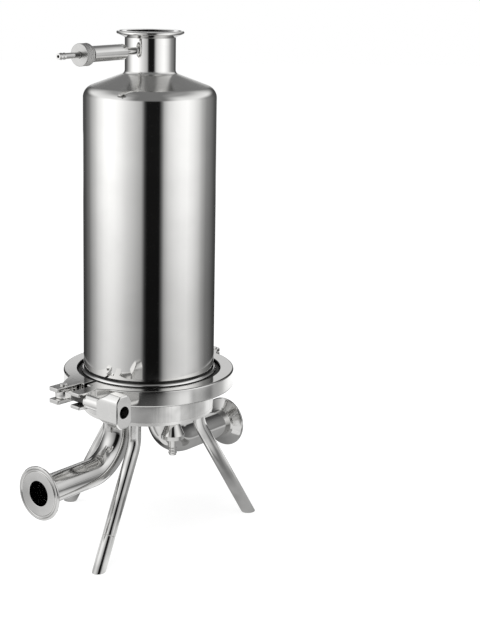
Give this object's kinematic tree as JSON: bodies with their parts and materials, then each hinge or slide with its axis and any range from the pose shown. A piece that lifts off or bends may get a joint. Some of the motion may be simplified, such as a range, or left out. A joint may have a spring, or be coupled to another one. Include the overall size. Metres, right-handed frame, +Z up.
{
  "type": "filter housing",
  "caption": "Upright stainless steel filter housing: a bell with a neck port, held by a hinged clamp on a drum base with bent rod legs, clamp ferrule ports, and vent and drain valves.",
  "frame": {"origin": "on the axis of the bell at floor level, between the three feet", "axes": "+Z up along the axis of the bell and out of the neck ferrule"},
  "size_m": [0.2293, 0.2341, 0.495],
  "materials": {
    "polished_steel": "mirror polished",
    "satin_steel": "satin, turned or brushed",
    "rod_steel": "drawn, lightly brushed",
    "cast_steel": "investment cast and tumbled",
    "seal": "matte elastomer"
  },
  "bodies": {
    "housing": {"bell_shell": "polished_steel", "neck_tube": "polished_steel", "neck_ferrule": "polished_steel", "bell_flange": "polished_steel", "joint_gasket": "seal", "base_plate": "satin_steel", "drum_skirt": "satin_steel", "drum_floor": "satin_steel", "cartridge_socket": "satin_steel", "inlet_elbow": "satin_steel", "inlet_ferrule": "satin_steel", "outlet_elbow": "satin_steel", "outlet_ferrule": "satin_steel", "front_leg": "rod_steel", "right_leg": "rod_steel", "rear_leg": "rod_steel", "left_clamp_half": "cast_steel", "hinge_pin": "rod_steel", "bolt_pivot_pin": "rod_steel", "vent_stub": "satin_steel", "vent_body": "satin_steel", "drain_body": "satin_steel"},
    "right_clamp": {"right_clamp_half": "cast_steel"},
    "bolt": {"swing_bolt": "rod_steel"},
    "sleeve": {"nut_sleeve": "cast_steel"},
    "nut": {"clamp_nut": "cast_steel"},
    "vent_spindle": {"vent_stem": "satin_steel", "vent_ring": "seal"},
    "vent_handle": {"vent_knob": "satin_steel"},
    "drain_spindle": {"drain_stem": "satin_steel", "drain_ring": "seal", "drain_barb": "satin_steel"},
    "drain_handle": {"drain_knob": "satin_steel"}
  },
  "joints": [
    {"name": "bolt_swing", "type": "hinge", "parent": "housing", "child": "bolt", "pos_m": [-0.07991, -0.06049, 0.16], "axis": [0, 0, -1], "range_deg": [0, 95]},
    {"name": "nut_slide", "type": "slide", "parent": "bolt", "child": "sleeve", "axis": [0.6947, -0.7193, 0], "range_m": [0, 0.0134]},
    {"name": "nut_turn", "type": "hinge", "parent": "sleeve", "child": "nut", "pos_m": [-0.03684, -0.10509, 0.16], "axis": [0.6947, -0.7193, 0], "range_deg": [0, 3862]},
    {"name": "clamp_hinge", "type": "hinge", "parent": "housing", "child": "right_clamp", "pos_m": [0.06582, 0.06356, 0.16], "axis": [0, 0, 1], "range_deg": [0, 4.01]},
    {"name": "vent_slide", "type": "slide", "parent": "housing", "child": "vent_spindle", "axis": [-0.6293, -0.7771, 0], "range_m": [0, 0.00225]},
    {"name": "vent_turn", "type": "hinge", "parent": "vent_spindle", "child": "vent_handle", "pos_m": [-0.05979, -0.07383, 0.477], "axis": [-0.6293, -0.7771, 0], "range_deg": [0, 540.5]},
    {"name": "drain_slide", "type": "slide", "parent": "housing", "child": "drain_spindle", "axis": [0, 0, -1], "range_m": [0, 0.00225]},
    {"name": "drain_turn", "type": "hinge", "parent": "drain_spindle", "child": "drain_handle", "pos_m": [0.023, -0.03984, 0.115], "axis": [0, 0, -1], "range_deg": [0, 540.5]}
  ],
  "couplings": [
    {"joint": "nut_turn", "follows": "nut_slide", "rad_per_m": 5026.5},
    {"joint": "clamp_hinge", "follows": "nut_slide", "rad_per_m": 5.2099},
    {"joint": "vent_turn", "follows": "vent_slide", "rad_per_m": 4188.8},
    {"joint": "drain_turn", "follows": "drain_slide", "rad_per_m": 4188.8}
  ]
}
